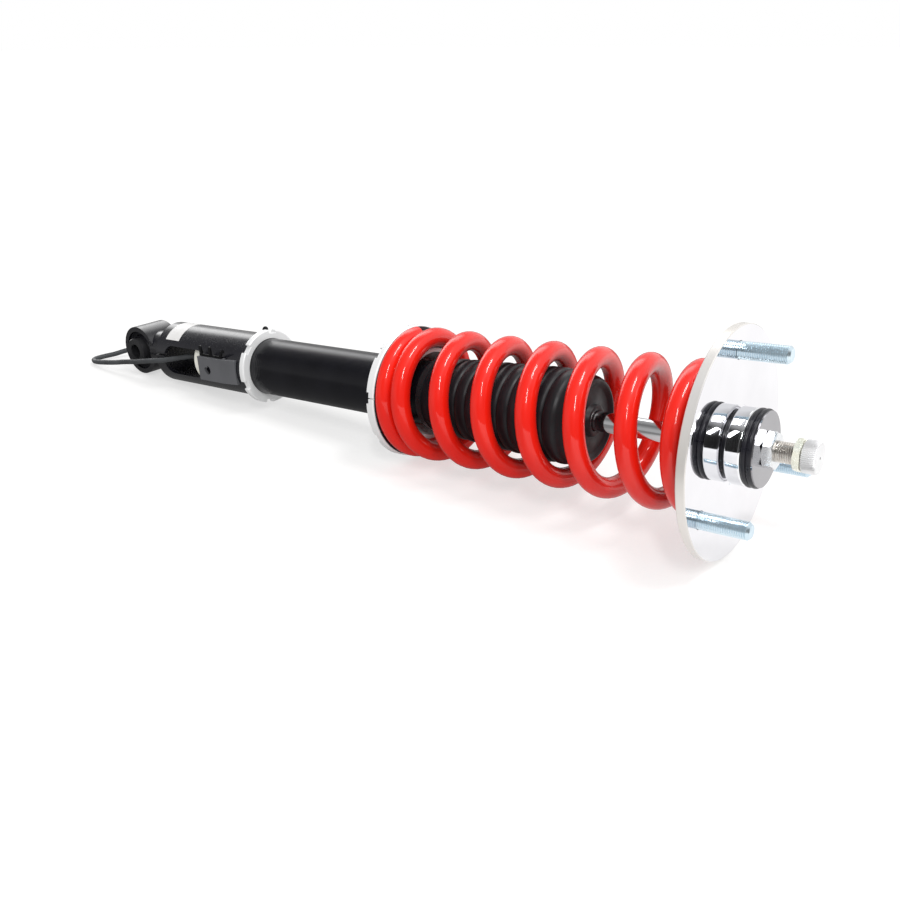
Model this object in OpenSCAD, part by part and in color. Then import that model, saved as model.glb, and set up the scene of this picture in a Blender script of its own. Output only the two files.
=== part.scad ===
// Coilover: height-adjustable damper with a coil spring, a rubber eye at its
// lower end and a three-stud mounting plate at its upper end.
// The damper's axis is X: the lower eye's bore centre is the origin, the
// mounting plate faces +X, and the eye's bore runs along Y.

/* [Layout] */
// Lower eye centre to the open lower end of the bracket barrel
eye_to_cup = 39; // [36:0.5:44]
// Barrel's window to the base plug of the damper
window_to_plug = 35; // [30:0.5:40]
// Damper tube's upper end down to the spring's lower seat
seat_below_end = 24.3; // [20:0.1:60]

/* [Lower eye] */
// Outer diameter of the eye housing
eye_d = 42; // [38:0.5:46]
// Width of the eye housing
eye_w = 28.6; // [26:0.2:32]
// Wall of the eye housing
eye_wall = 4.2; // [3:0.1:5]
// Outer diameter of the inner sleeve
sleeve_d = 22.8; // [20:0.2:26]
// Length of the inner sleeve
sleeve_l = 38; // [34:1:42]
// Bore of the inner sleeve for an M12 bolt
sleeve_bore = 12.4; // [10.2:0.1:14.4]
// Diameter of the neck that joins the eye to the barrel
neck_d = 31; // [28:0.5:38]

/* [Bracket barrel] */
// Outer diameter of the barrel
cup_d = 50.6; // [50:0.2:56]
// Length of the barrel
cup_l = 112.5; // [105:0.5:118]
// Thickness of the plug that closes the barrel's lower end
cup_plug_t = 12; // [9:0.5:14]
// Length of each side window
window_l = 51; // [40:1:56]
// Height of each side window
window_h = 24; // [18:1:28]
// Corner radius of the windows at their lower end
window_r = 9; // [5:0.5:11]

/* [Hose bracket] */
// Distance of the bracket's outer face from the damper's axis
bracket_reach = 28.6; // [28.4:0.1:33]
// Sheet thickness of the bracket
bracket_t = 2.4; // [1.5:0.1:3]
// Length of the bracket's flat face
bracket_l = 30; // [24:1:34]
// Height of the bracket's flat face
bracket_h = 19.5; // [16:0.5:20]
// Diameter of the hole in the bracket
bracket_hole_d = 7.4; // [5:0.1:9]

/* [Damper body] */
// Outer diameter of the threaded damper tube
tube_d = 44.5; // [43:0.1:45]
// Bore of the damper tube
tube_bore = 38; // [34:0.5:40]
// Length of the damper tube
tube_l = 240; // [235:1:245]
// Length of the base plug that shows below the tube
plug_l = 7; // [5:0.5:9]
// Pitch of the thread on the tube
thread_pitch = 2; // [1.5:0.5:3]

/* [Collars] */
// Outer diameter of the lower lock ring
lock_ring_d = 58.4; // [56:0.2:62]
// Thickness of the lower lock ring
lock_ring_t = 5.2; // [4:0.1:8]
// Number of spanner notches in the lower lock ring
lock_ring_notches = 6; // [4:1:8]
// Outer diameter of the spring seat
seat_d = 92; // [90:1:96]
// Thickness of the spring seat's flange
seat_t = 6.4; // [5:0.1:9]
// Number of spanner notches in the spring seat
seat_notches = 9; // [6:1:12]
// Thickness of the pad between seat and spring
pad_t = 0.8; // [0.6:0.1:1.2]

/* [Spring] */
// Diameter of the spring wire
wire_d = 13; // [11:0.1:13.2]
// Inside diameter of the spring
spring_id = 65; // [65:0.5:68]
// Height of the spring between its ground ends
spring_h = 215.7; // [208:0.1:217]
// Turns of the spring, end turns included
spring_turns = 7.93; // [7.2:0.01:8]

/* [Dust boot] */
// Length of the boot above the tube's end
boot_l = 115; // [105:0.5:120]
// Outer diameter of the boot at its widest
boot_d = 60; // [56:0.5:62]
// Outer diameter of the boot at its lower end
boot_neck_d = 53; // [50:0.5:58]
// Depth of the grooves between the boot's ribs
boot_groove = 1.5; // [0.8:0.1:2]
// Number of ribs on the boot
boot_ribs = 11; // [6:1:13]
// Wall of the boot
boot_wall = 1.6; // [1.2:0.1:2]

/* [Rod and valve] */
// Diameter of the piston rod
rod_d = 12.4; // [12.2:0.1:14]
// Diameter of the rod's upper thread
rod_thread_d = 11.8; // [9.8:0.1:12]
// Thickness of the piston
piston_t = 14; // [10:1:18]

/* [Top mount] */
// Diameter of the mounting plate
plate_d = 134; // [128:1:140]
// Thickness of the mounting plate
plate_t = 5.5; // [4:0.1:6]
// Thickness of the upper spring seat's flange
upper_seat_t = 7.8; // [6:0.1:10]
// Pitch circle diameter of the studs
stud_pcd = 108; // [104:1:110]
// Nominal diameter of the studs
stud_d = 10; // [8:1:10]
// Length of the studs above the plate's face
stud_l = 28; // [24:1:36]
// Diameter of the bush stack above the plate
bush_d = 44.6; // [40:0.2:46]
// Length of the polished collar in the bush stack
collar_l = 9.5; // [8:0.1:11]
// Length of the upper seat's spigot inside the spring
seat_spigot_l = 11; // [6:0.5:12]

/* [Adjuster] */
// Diameter of the adjuster knob
knob_d = 18.4; // [16:0.2:20]
// Length of the adjuster knob
knob_l = 8; // [6:0.5:10]

/* [Hidden] */
$fn = 96;

fit_gap = 0.05;      // radial clearance of a running fit
face_gap = 0.3;      // clearance between faces of parts that move apart
cut = 1;             // how far a cutter runs past the face it cuts

// Stations along X, from the lower eye upwards
cup_end = eye_to_cup + cup_l;
window_x = eye_to_cup + cup_plug_t;
lock_ring_x = cup_end + face_gap;
plug_x = window_x + window_to_plug;
tube_x = plug_x + plug_l;
tube_end = tube_x + tube_l;
spring_x = tube_end - seat_below_end;
spring_end = spring_x + spring_h;
pad_x = spring_x - pad_t;
seat_x = pad_x - seat_t;
back_x = spring_end + upper_seat_t;
plate_x = back_x + plate_t;
washer_t = 1.5;
under_bush_t = 10;
under_bush_x = back_x - under_bush_t;
under_washer_x = under_bush_x - washer_t;
boot_x = tube_end + 1;
boot_end = boot_x + boot_l;

// Bush stack on the plate, each layer's thickness from the plate upwards
bush_recess_t = 0.3;     // depth of the bush's shallow seat in the plate's face
bush_base_t = 1;
bush_ring_t = 6;
end_washer_t = 0.8;
collar_x = plate_x + bush_base_t;
bush_ring_x = collar_x + collar_l;
end_washer_x = bush_ring_x + bush_ring_t;
rod_nut_x = end_washer_x + end_washer_t;
rod_nut_t = 6;
rod_nut_af = 19;
thread_show = 9.9;
adjuster_nut_x = rod_nut_x + rod_nut_t + thread_show;
adjuster_nut_t = 4;
adjuster_nut_af = 17;
knob_x = adjuster_nut_x + adjuster_nut_t + face_gap;
metering_d = 4;

// Radii that several pieces share
cup_bore_r = tube_d / 2 + fit_gap;
cup_r = cup_d / 2;
tube_r = tube_d / 2;
bore_r = tube_bore / 2;
rod_r = rod_d / 2;
pin_r = rod_thread_d / 2;
spring_r = spring_id / 2 + wire_d / 2;
spring_or = spring_id / 2 + wire_d;
neck_r = pin_r + 4;       // outside of the rubber neck in the plate's hole
under_bush_r = 14.5;

// ---------- shared shapes ----------

// Turns a profile of [x, r] points about the damper's axis
module revolve_x(profile) {
    rotate([0, 90, 0])
        rotate_extrude()
            polygon([for (p = profile) [p[1], p[0]]]);
}

// A cylinder along X from x0 to x1
module bar_x(x0, x1, r) {
    translate([x0, 0, 0])
        rotate([0, 90, 0])
            cylinder(r = r, h = x1 - x0);
}

// A ring along X from x0 to x1
module ring_x(x0, x1, outer_r, inner_r) {
    difference() {
        bar_x(x0, x1, outer_r);
        bar_x(x0 - cut, x1 + cut, inner_r);
    }
}

// A hexagonal nut along X with chamfered corners and a bore
module hex_nut_x(x0, thick, across_flats, bore_r) {
    corner_r = across_flats / sqrt(3);
    chamfer = corner_r - across_flats / 2;
    difference() {
        intersection() {
            translate([x0, 0, 0])
                rotate([0, 90, 0])
                    cylinder(r = corner_r, h = thick, $fn = 6);
            revolve_x([[x0, 0], [x0, corner_r - chamfer], [x0 + chamfer * 0.6, corner_r],
                [x0 + thick - chamfer * 0.6, corner_r], [x0 + thick, corner_r - chamfer],
                [x0 + thick, 0]]);
        }
        bar_x(x0 - cut, x0 + thick + cut, bore_r);
    }
}

// A rubber ring with two raised beads round its rim
module beaded_ring_x(x0, thick, outer_r, inner_r, bead) {
    half = thick / 2;
    revolve_x([[x0, inner_r], [x0, outer_r - bead], [x0 + half * 0.3, outer_r],
        [x0 + half * 0.7, outer_r], [x0 + half, outer_r - bead], [x0 + half * 1.3, outer_r],
        [x0 + half * 1.7, outer_r], [x0 + thick, outer_r - bead], [x0 + thick, inner_r]]);
}

// A tube swept along points: `sides` round it and flat caps at its ends
function unit(v) = v / norm(v);
function tangent(pts, i) =
    unit(pts[min(i + 1, len(pts) - 1)] - pts[max(i - 1, 0)]);

module swept_tube(pts, radius, sides, up) {
    n = len(pts);
    verts = [for (i = [0 : n - 1])
        let (t = tangent(pts, i), a = unit(cross(up, t)), b = cross(t, a))
        for (k = [0 : sides - 1])
            pts[i] + radius * (cos(360 * k / sides) * a + sin(360 * k / sides) * b)];
    walls = [for (i = [0 : n - 2], k = [0 : sides - 1])
        let (q = (k + 1) % sides, p0 = i * sides + k, p1 = i * sides + q)
        each [[p0, p0 + sides, p1], [p1, p0 + sides, p1 + sides]]];
    caps = [for (k = [1 : sides - 2])
        each [[0, k, k + 1], [(n - 1) * sides, (n - 1) * sides + k + 1, (n - 1) * sides + k]]];
    polyhedron(points = verts, faces = concat(walls, caps), convexity = 12);
}

// ---------- lower eye ----------

module lower_eye() {
    plug_r = cup_bore_r - fit_gap;
    color("#26272a")
        difference() {
            union() {
                rotate([90, 0, 0])
                    cylinder(r = eye_d / 2, h = eye_w, center = true);
                bar_x(0, eye_to_cup, neck_d / 2);
                bar_x(eye_to_cup - face_gap, window_x, plug_r);
            }
            rotate([90, 0, 0])
                cylinder(r = eye_d / 2 - eye_wall, h = eye_w + 2 * cut + neck_d, center = true);
        }
}

module eye_bush() {
    bush_r = eye_d / 2 - eye_wall;
    recess = 2.4;
    color("#1b1b1d")
        rotate([90, 0, 0])
            difference() {
                cylinder(r = bush_r, h = eye_w - 2 * recess, center = true);
                cylinder(r = sleeve_d / 2 + fit_gap, h = eye_w, center = true);
            }
}

module eye_sleeve() {
    chamfer = 0.8;
    color("#3c3d40")
        rotate([90, 0, 0])
            rotate_extrude()
                polygon([[sleeve_bore / 2, -sleeve_l / 2],
                    [sleeve_d / 2 - chamfer, -sleeve_l / 2],
                    [sleeve_d / 2, -sleeve_l / 2 + chamfer],
                    [sleeve_d / 2, sleeve_l / 2 - chamfer],
                    [sleeve_d / 2 - chamfer, sleeve_l / 2],
                    [sleeve_bore / 2, sleeve_l / 2]]);
}

// ---------- bracket barrel ----------

// A window's cutter, through both walls, with round corners at its lower end
module window_cutter() {
    x1 = window_x + window_l;
    rotate([90, 0, 0])
        linear_extrude(height = cup_d + 2 * cut, center = true)
            union() {
                translate([window_x + window_r, -window_h / 2])
                    square([x1 - window_x - window_r, window_h]);
                translate([window_x, window_r - window_h / 2])
                    square([window_l, window_h - 2 * window_r]);
                for (side = [-1, 1])
                    translate([window_x + window_r, side * (window_h / 2 - window_r)])
                        circle(r = window_r);
            }
}

module bracket_barrel() {
    rim = 1;
    slit_w = 1.6;
    color("#35363a")
        difference() {
            revolve_x([[eye_to_cup, cup_bore_r], [eye_to_cup, cup_r - rim],
                [eye_to_cup + rim, cup_r], [cup_end - rim, cup_r], [cup_end, cup_r - rim],
                [cup_end, cup_bore_r]]);
            window_cutter();
            translate([eye_to_cup - cut, -cup_r - cut, 3.4])
                cube([cup_plug_t + 2 * cut, cup_r - cup_bore_r + 2 * cut + 0.7, slit_w]);
        }
}

bracket_x = window_x + window_l - 1;
bracket_end = bracket_x + bracket_l;
bracket_z = -bracket_h / 2 - 0.3;
flange_z = bracket_z + bracket_h;

module hose_bracket() {
    return_l = 13;
    inner_y = -bracket_reach + bracket_t;
    hole_x = bracket_x + 11;
    color("#4b4c50")
        difference() {
            union() {
                translate([0, 0, bracket_z])
                    linear_extrude(height = bracket_h)
                        polygon([[bracket_x, -bracket_reach], [bracket_end, -bracket_reach],
                            [bracket_end + return_l, -cup_r - bracket_t * 0.4],
                            [bracket_end + return_l, -cup_bore_r], [bracket_end, inner_y],
                            [bracket_x, inner_y]]);
                translate([bracket_x, -bracket_reach, flange_z - bracket_t])
                    cube([bracket_l, bracket_reach - cup_bore_r + 2, bracket_t]);
            }
            bar_x(bracket_x - cut, bracket_end + return_l + cut, cup_r + 0.01);
            difference() {
                translate([hole_x, 0, -1])
                    rotate([90, 0, 0])
                        cylinder(d = bracket_hole_d, h = bracket_reach + cut);
                translate([hole_x - bracket_hole_d, -bracket_reach - cut, bracket_hole_d * 0.28 - 1])
                    cube([bracket_hole_d, bracket_reach, bracket_hole_d]);
            }
        }
}

module hose_clip() {
    prong_w = 3;
    prong_h = 8.5;
    gap_w = 8.6;
    clip_t = 1.4;
    hook_x = 24;
    hook_r = 8;
    color("#17181a")
        translate([bracket_x + 0.8, -bracket_reach + bracket_t + clip_t, flange_z])
            rotate([90, 0, 0])
                linear_extrude(height = clip_t)
                    union() {
                        square([hook_x + 3, prong_w * 0.6]);
                        for (px = [0, prong_w + gap_w])
                            translate([px, 0]) {
                                square([prong_w, prong_h - prong_w / 2]);
                                translate([prong_w / 2, prong_h - prong_w / 2])
                                    circle(d = prong_w);
                            }
                        intersection() {
                            difference() {
                                translate([hook_x + hook_r, 0])
                                    circle(r = hook_r);
                                translate([hook_x + hook_r, 0])
                                    circle(r = hook_r - prong_w * 0.8);
                            }
                            translate([hook_x, 0])
                                square([hook_r * 0.8, hook_r]);
                        }
                    }
}

module line_pin() {
    pin_angle = 66;
    pin_x = cup_end - 9.5;
    pin_w = 4.6;
    pin_top = 31;
    color("#1d1e20")
        rotate([pin_angle, 0, 0])
            translate([pin_x, 0, 0])
                difference() {
                    union() {
                        rotate([-90, 0, 0])
                            cylinder(d = pin_w, h = pin_top - pin_w / 2);
                        translate([0, pin_top - pin_w / 2, 0])
                            sphere(d = pin_w);
                    }
                    bar_x(-pin_w, pin_w, cup_r + 0.01);
                }
}

// ---------- collars ----------

module lower_lock_ring() {
    ring_r = lock_ring_d / 2;
    bevel = 0.8;
    notch_w = 7;
    notch_depth = 2.8;
    color("#d9dce0")
        difference() {
            revolve_x([[lock_ring_x, cup_bore_r], [lock_ring_x, ring_r - bevel],
                [lock_ring_x + bevel, ring_r], [lock_ring_x + lock_ring_t - bevel, ring_r],
                [lock_ring_x + lock_ring_t, ring_r - bevel],
                [lock_ring_x + lock_ring_t, cup_bore_r]]);
            for (k = [0 : lock_ring_notches - 1])
                rotate([18 + 360 * k / lock_ring_notches, 0, 0])
                    translate([lock_ring_x - cut, ring_r - notch_depth, -notch_w / 2])
                        cube([lock_ring_t + 2 * cut, notch_depth + cut, notch_w]);
        }
}

spigot_l = 14;
spigot_r = spring_id / 2 - 0.9;
spigot_bore_r = spigot_r - 2.6;

module spring_seat() {
    seat_r = seat_d / 2;
    bevel = 0.7;
    notch_w = 8;
    notch_axial = 2.4;
    notch_depth = 4.5;
    slit = 0.8;
    color("#dfe1e4")
        difference() {
            revolve_x([[seat_x, cup_bore_r], [seat_x, seat_r - bevel], [seat_x + bevel, seat_r],
                [pad_x - bevel, seat_r], [pad_x, seat_r - bevel], [pad_x, spigot_r],
                [spring_x + spigot_l, spigot_r],
                [spring_x + spigot_l, spigot_bore_r],
                [pad_x + 1, cup_bore_r + 1.5], [pad_x, cup_bore_r]]);
            for (k = [0 : seat_notches - 1])
                rotate([171 + 360 * k / seat_notches, 0, 0])
                    translate([seat_x - cut, seat_r - notch_depth, -notch_w / 2])
                        cube([notch_axial + cut, notch_depth + cut, notch_w]);
            rotate([171, 0, 0])
                translate([seat_x - cut, seat_r - 2, -slit / 2])
                    cube([seat_t + 2 * cut, 2 + cut, slit]);
        }
}

module spring_pad() {
    color("#141414")
        ring_x(pad_x, spring_x, seat_d / 2 - 1, spigot_r + 0.05);
}

// ---------- spring ----------

tip_angle = 85;          // angle about X of the wire's lower tip
lower_closed = 1.26;     // turns wound at the closed pitch at the lower end
upper_closed = 0.97;     // and at the upper end
closed_pitch = wire_d + 0.5;
ease_deg = 30;           // half-length of each pitch change
rings_per_turn = 20;
wire_sides = 10;
lower_grind = 6.1;       // wire ground away at the lower tip, to a flat end
upper_grind = 4.1;       // and at the upper tip
lower_tip = wire_d / 2 - lower_grind;
upper_tip = wire_d / 2 - upper_grind;
end_turns = lower_closed + upper_closed;
open_pitch = (spring_h - lower_tip + upper_tip - closed_pitch * end_turns)
    / (spring_turns - end_turns);

// Smooth version of max(0, t) that eases over ease_deg either side of 0
function ramp(t) = t <= -ease_deg ? 0
    : t >= ease_deg ? t : (t + ease_deg) * (t + ease_deg) / (4 * ease_deg);

// Height of the wire's centre after a turn of `a` degrees from its lower tip
function wire_x(a) = spring_x + lower_tip + closed_pitch * a / 360
    + (open_pitch - closed_pitch) / 360
    * (ramp(a - 360 * lower_closed) - ramp(a - 360 * (spring_turns - upper_closed)));

wire_rings = round(spring_turns * rings_per_turn);
wire_pts = [for (i = [0 : wire_rings])
    let (a = 360 * spring_turns * i / wire_rings)
    [wire_x(a), spring_r * cos(a + tip_angle), spring_r * sin(a + tip_angle)]];

// Least gap between the wire and its own next turn
wire_self_gap = min([for (i = [0 : wire_rings], j = [i + rings_per_turn / 2 : wire_rings])
    norm(wire_pts[i] - wire_pts[j])]) - wire_d;

module spring() {
    slab = spring_or + cut;
    color("#e02418")
        intersection() {
            swept_tube(wire_pts, wire_d / 2, wire_sides, [1, 0, 0]);
            translate([spring_x, -slab, -slab])
                cube([spring_h, 2 * slab, 2 * slab]);
        }
}

// ---------- damper body ----------

module base_plug() {
    plug_r = tube_r - 0.75;
    color("#e9e6d8")
        union() {
            revolve_x([[plug_x, 0], [plug_x, plug_r - 0.8], [plug_x + 0.8, plug_r],
                [tube_x, plug_r], [tube_x, bore_r - 0.02], [tube_x + 10, bore_r - 0.02],
                [tube_x + 10, 0]]);
            for (side = [-1, 1])
                translate([0, side * cable_exit_y, cable_exit_z])
                    bar_x(plug_x - gland_l, plug_x + cut, cable_d / 2 + 1.1);
        }
}

module damper_tube() {
    thread_depth = 0.5;
    relief = 2;
    color("#141517")
        revolve_x([[tube_x, bore_r], [tube_x, tube_r - thread_depth],
            [tube_x + thread_depth, tube_r], [tube_end - relief, tube_r],
            [tube_end, tube_r - relief], [tube_end, bore_r]]);
}

cap_t = 5;
seal_t = 7;
guide_l = 14;
guide_end = tube_end - cap_t - seal_t;
guide_x = guide_end - guide_l;

module tube_cap() {
    color("#2c2d30")
        ring_x(tube_end - cap_t, tube_end, bore_r - 0.02, rod_r + 1.2);
}

module rod_guide() {
    color("#8f9399")
        ring_x(guide_x, guide_end, bore_r - 0.02, rod_r + fit_gap);
}

module rod_seal() {
    color("#3a1f1a")
        ring_x(guide_end, tube_end - cap_t, bore_r - 0.02, rod_r + fit_gap);
}

gas_l = 62;              // length of the gas space below the floating piston
gas_t = 16;
gas_groove_x = 5;
gas_groove_w = 4;
gas_x = tube_x + gas_l;
seal_x = gas_x + gas_groove_x;

module gas_piston() {
    inner = bore_r - 2.5;
    color("#b9bcc0")
        revolve_x([[gas_x, 0], [gas_x, bore_r - fit_gap], [seal_x, bore_r - fit_gap],
            [seal_x, inner], [seal_x + gas_groove_w, inner],
            [seal_x + gas_groove_w, bore_r - fit_gap],
            [gas_x + gas_t, bore_r - fit_gap], [gas_x + gas_t, 0]]);
}

module gas_piston_seal() {
    color("#101010")
        ring_x(seal_x, seal_x + gas_groove_w, bore_r - fit_gap, bore_r - 2.5);
}

// ---------- dust boot ----------

boot_sleeve_l = 8;       // overlap of the boot's plain end on the tube
boot_flare_l = 9;        // plain stretch between the tube and the first rib
boot_dome_l = 12;        // rounded shoulder at the upper end
boot_face_r = 24.4;
boot_lip = 2.2;
rib_steps = 4;
boot_rib_x = boot_x + boot_flare_l;
boot_pitch = (boot_end - boot_dome_l - boot_rib_x) / boot_ribs;
boot_sleeve_r = tube_r + fit_gap + boot_wall;
boot_lid_x = boot_end - boot_lip - boot_wall - 2;

// Radius of the boot's outside at rib position u, from 0 to boot_ribs
function boot_r(u) = boot_neck_d / 2 + (boot_d - boot_neck_d) / 2 * min(1, 1.2 * u / boot_ribs)
    - boot_groove * (1 - abs(sin(180 * u)));

// Radius of the rounded shoulder at fraction v of its length
function dome_r(v) = boot_face_r + (boot_r(boot_ribs) - boot_face_r) * sqrt(1 - v * v);

boot_outer = concat(
    [[boot_x - boot_sleeve_l, boot_sleeve_r], [boot_x, boot_sleeve_r],
        [boot_x + boot_flare_l * 0.6, boot_neck_d / 2 - boot_groove]],
    [for (i = [0 : boot_ribs * rib_steps])
        [boot_rib_x + boot_pitch * i / rib_steps, boot_r(i / rib_steps)]],
    [for (v = [0.25, 0.5, 0.7, 0.85, 0.95]) [boot_end - boot_dome_l * (1 - v), dome_r(v)]],
    [[boot_end, boot_face_r]]);

// The boot's inside follows its outside at the wall's thickness, up to the lid
boot_inner = concat(
    [[boot_lid_x, rod_r + 0.3], [boot_lid_x, dome_r(1 - (boot_end - boot_lid_x) / boot_dome_l)
        - boot_wall]],
    [for (i = [boot_ribs * rib_steps : -rib_steps / 2 : 0])
        [boot_rib_x + boot_pitch * i / rib_steps, boot_r(i / rib_steps) - boot_wall]],
    [[boot_x, tube_r + fit_gap], [boot_x - boot_sleeve_l, tube_r + fit_gap]]);

module dust_boot() {
    collar_r = rod_r + 3.4;
    collar_h = 1.6;
    face = [[boot_end, boot_face_r - 1.6], [boot_end - boot_lip, boot_face_r - 3.6],
        [boot_end - boot_lip, collar_r + 0.8], [boot_end + collar_h, collar_r],
        [boot_end + collar_h, rod_r + 0.3]];
    color("#18191b")
        revolve_x(concat(boot_outer, face, boot_inner));
}

module boot_clamp() {
    clamp_w = 4;
    clamp_x = boot_x - boot_sleeve_l + 1;
    color("#2a2b2e")
        ring_x(clamp_x, clamp_x + clamp_w, boot_sleeve_r + 0.7, boot_sleeve_r);
}

module bump_stop() {
    stop_l = 46;
    stop_end = boot_lid_x;
    waists = 3;
    color("#d8b13a")
        revolve_x(concat([[stop_end - stop_l, rod_r + 0.3]],
            [for (i = [0 : 6 * waists])
                [stop_end - stop_l + stop_l * i / (6 * waists),
                    13 + 5 * i / (6 * waists) - 2 * (0.5 + 0.5 * cos(60 * i))]],
            [[stop_end, rod_r + 0.3]]));
}

// ---------- rod and piston ----------

rebound_gap = 8;         // free length between the piston and the rod guide
piston_nut_t = 8;
rod_tail = 4;            // rod that shows below the piston's nut
piston_x = guide_x - rebound_gap - piston_t;
rod_x = piston_x - piston_nut_t - rod_tail;

module piston_rod() {
    pin_x = under_washer_x;
    chamfer = 1;
    color("#e4e6e8")
        revolve_x([[rod_x, metering_d / 2 + fit_gap], [rod_x, 5], [piston_x + piston_t + 3, 5],
            [piston_x + piston_t + 3, rod_r], [pin_x, rod_r], [pin_x, pin_r],
            [adjuster_nut_x + adjuster_nut_t - chamfer, pin_r],
            [adjuster_nut_x + adjuster_nut_t, pin_r - chamfer],
            [adjuster_nut_x + adjuster_nut_t, metering_d / 2 + fit_gap]]);
}

module metering_rod() {
    color("#c9a24a")
        union() {
            bar_x(rod_x - 3, knob_x, metering_d / 2);
            bar_x(knob_x, knob_x + knob_l * 0.6, metering_d / 2);
        }
}

module piston() {
    ports = 6;
    band_r = bore_r - 1;
    color("#9ea2a8")
        difference() {
            revolve_x([[piston_x, 5], [piston_x, bore_r - 1], [piston_x + 3, bore_r - 1],
                [piston_x + 3, band_r - 0.6], [piston_x + piston_t - 3, band_r - 0.6],
                [piston_x + piston_t - 3, bore_r - 1], [piston_x + piston_t, bore_r - 1],
                [piston_x + piston_t, 5]]);
            for (k = [0 : ports - 1])
                rotate([360 * k / ports, 0, 0])
                    translate([0, 12, 0])
                        bar_x(piston_x - cut, piston_x + piston_t + cut, 2.2);
        }
}

module piston_band() {
    color("#5a4632")
        ring_x(piston_x + 3, piston_x + piston_t - 3, bore_r - fit_gap, bore_r - 1.6);
}

module rebound_shims() {
    color("#c8ccd0")
        revolve_x([[piston_x + piston_t, 5], [piston_x + piston_t, 15],
            [piston_x + piston_t + 0.9, 15], [piston_x + piston_t + 0.9, 13],
            [piston_x + piston_t + 1.8, 13], [piston_x + piston_t + 1.8, 11],
            [piston_x + piston_t + 3, 11], [piston_x + piston_t + 3, 5]]);
}

module piston_nut() {
    color("#b0b4b9")
        hex_nut_x(piston_x - piston_nut_t, piston_nut_t, 17, 5);
}

// ---------- top mount ----------

module mount_plate() {
    plate_r = plate_d / 2;
    recess_r = bush_d / 2 + face_gap;
    edge = 0.5;
    color("#e3e5e8")
        difference() {
            revolve_x([[back_x, neck_r + fit_gap], [back_x, plate_r - edge],
                [back_x + edge, plate_r], [plate_x - edge, plate_r], [plate_x, plate_r - edge],
                [plate_x, recess_r], [plate_x - bush_recess_t, recess_r],
                [plate_x - bush_recess_t, neck_r + fit_gap]]);
            for (k = [0 : 2])
                rotate([90 + 120 * k, 0, 0])
                    translate([0, stud_pcd / 2, 0])
                        bar_x(back_x - cut, plate_x + cut, stud_shank_r);
        }
}

stud_shank_r = stud_d / 2 + 0.3;   // pressed into the plate
stud_head_r = stud_d / 2 + 1.8;
stud_head_t = 2.6;

module mount_studs() {
    stud_r = stud_d / 2;
    head_r = stud_head_r;
    head_t = stud_head_t;
    tip = plate_x + stud_l;
    chamfer = 1.2;
    color("#b8cbd8")
        for (k = [0 : 2])
            rotate([90 + 120 * k, 0, 0])
                translate([0, stud_pcd / 2, 0])
                    revolve_x([[back_x - head_t, 0], [back_x - head_t, head_r - 0.6],
                        [back_x - head_t + 0.6, head_r], [back_x, head_r], [back_x, stud_shank_r],
                        [plate_x, stud_shank_r], [plate_x, stud_r],
                        [tip - chamfer, stud_r], [tip, stud_r - chamfer], [tip, 0]]);
}

upper_seat_r = spring_or + 0.5;
seat_bore_r = under_bush_r + 1.5;

module upper_seat() {
    bevel = 0.8;
    lip_w = 3;
    tip_x = spring_end - seat_spigot_l;
    color("#202123")
        difference() {
            revolve_x([[tip_x, spigot_r - lip_w], [tip_x, spigot_r - bevel],
                [tip_x + bevel, spigot_r], [spring_end, spigot_r],
                [spring_end, upper_seat_r - bevel], [spring_end + bevel, upper_seat_r],
                [back_x, upper_seat_r], [back_x, seat_bore_r], [spring_end, seat_bore_r]]);
            // Room for the studs' heads, should they reach the flange
            for (k = [0 : 2])
                rotate([90 + 120 * k, 0, 0])
                    translate([0, stud_pcd / 2, 0])
                        bar_x(back_x - stud_head_t - face_gap, back_x + cut,
                            stud_head_r + face_gap);
        }
}

module lower_washer() {
    color("#c4c8cc")
        ring_x(under_washer_x, under_bush_x, under_bush_r - 0.5, pin_r);
}

module under_bush() {
    waist = 1.2;
    color("#1a1a1c")
        revolve_x([[under_bush_x, pin_r], [under_bush_x, under_bush_r - waist],
            [under_bush_x + under_bush_t * 0.3, under_bush_r],
            [under_bush_x + under_bush_t * 0.7, under_bush_r],
            [back_x, under_bush_r - waist], [back_x, pin_r]]);
}

module bush_neck() {
    color("#161719")
        ring_x(back_x, plate_x - bush_recess_t, neck_r, pin_r);
}

module bush_base() {
    color("#161719")
        ring_x(plate_x - bush_recess_t, collar_x, bush_d / 2 - 2.9, pin_r);
}

// The polished collar that grips the rubber ring, with rounded shoulders
module bush_collar() {
    collar_r = bush_d / 2 - 0.3;
    foot_l = 1.6;            // rounded foot towards the plate, along the axis
    foot_r = 2.4;            // and across it
    round_r = 1.2;
    x1 = bush_ring_x;
    color("#c9ccd1")
        revolve_x([[collar_x, pin_r], [collar_x, collar_r - foot_r],
            [collar_x + foot_l * 0.3, collar_r - foot_r * 0.3], [collar_x + foot_l, collar_r],
            [x1 - round_r, collar_r], [x1 - round_r * 0.3, collar_r - round_r * 0.3],
            [x1, collar_r - round_r], [x1, pin_r]]);
}

module bush_ring() {
    color("#161719")
        beaded_ring_x(bush_ring_x, bush_ring_t, bush_d / 2, pin_r, 1.2);
}

module end_washer() {
    color("#a9abad")
        ring_x(end_washer_x, rod_nut_x, bush_d / 2 - 0.9, pin_r);
}

module rod_nut() {
    color("#d6dbe0")
        hex_nut_x(rod_nut_x, rod_nut_t, rod_nut_af, pin_r);
}

// ---------- adjuster ----------

module adjuster_nut() {
    color("#d9cf8f")
        hex_nut_x(adjuster_nut_x, adjuster_nut_t, adjuster_nut_af, pin_r);
}

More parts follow.
